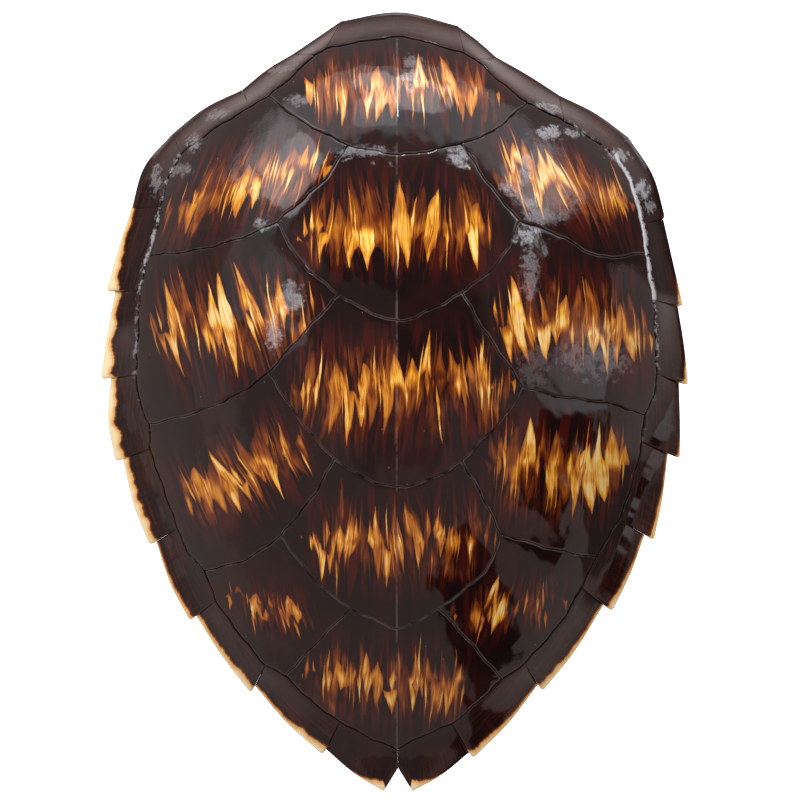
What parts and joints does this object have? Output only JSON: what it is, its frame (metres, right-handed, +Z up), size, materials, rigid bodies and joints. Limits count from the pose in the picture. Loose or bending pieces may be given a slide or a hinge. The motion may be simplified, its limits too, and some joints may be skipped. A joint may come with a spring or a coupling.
{
  "type": "sea turtle shell",
  "caption": "Polished carapace of a sea turtle: a domed, hollow bony shield covered by horny scutes with flame markings and a serrated rim.",
  "frame": {"origin": "on the ground under the middle of the shell's length and width", "axes": "+Z up out of the back, +Y to the head end, +X to the animal's right"},
  "size_m": [0.5294, 0.6996, 0.1686],
  "materials": {
    "vertebral_horn": "polished",
    "costal_horn": "polished",
    "margin_horn": "polished",
    "bone": "matte"
  },
  "bodies": {
    "root": {"carapace_bone": "bone", "nuchal_scute": "margin_horn", "vertebral_scute_1": "vertebral_horn", "vertebral_scute_2": "vertebral_horn", "vertebral_scute_3": "vertebral_horn", "vertebral_scute_4": "vertebral_horn", "vertebral_scute_5": "vertebral_horn", "costal_scute_left_1": "costal_horn", "costal_scute_left_2": "costal_horn", "costal_scute_left_3": "costal_horn", "costal_scute_left_4": "costal_horn", "marginal_scute_left_1": "margin_horn", "marginal_scute_left_2": "margin_horn", "marginal_scute_left_3": "margin_horn", "marginal_scute_left_4": "margin_horn", "marginal_scute_left_5": "margin_horn", "marginal_scute_left_6": "margin_horn", "marginal_scute_left_7": "margin_horn", "marginal_scute_left_8": "margin_horn", "marginal_scute_left_9": "margin_horn", "marginal_scute_left_10": "margin_horn", "marginal_scute_left_11": "margin_horn", "supracaudal_scute_left": "margin_horn", "costal_scute_right_1": "costal_horn", "costal_scute_right_2": "costal_horn", "costal_scute_right_3": "costal_horn", "costal_scute_right_4": "costal_horn", "marginal_scute_right_1": "margin_horn", "marginal_scute_right_2": "margin_horn", "marginal_scute_right_3": "margin_horn", "marginal_scute_right_4": "margin_horn", "marginal_scute_right_5": "margin_horn", "marginal_scute_right_6": "margin_horn", "marginal_scute_right_7": "margin_horn", "marginal_scute_right_8": "margin_horn", "marginal_scute_right_9": "margin_horn", "marginal_scute_right_10": "margin_horn", "marginal_scute_right_11": "margin_horn", "supracaudal_scute_right": "margin_horn"}
  },
  "joints": []
}
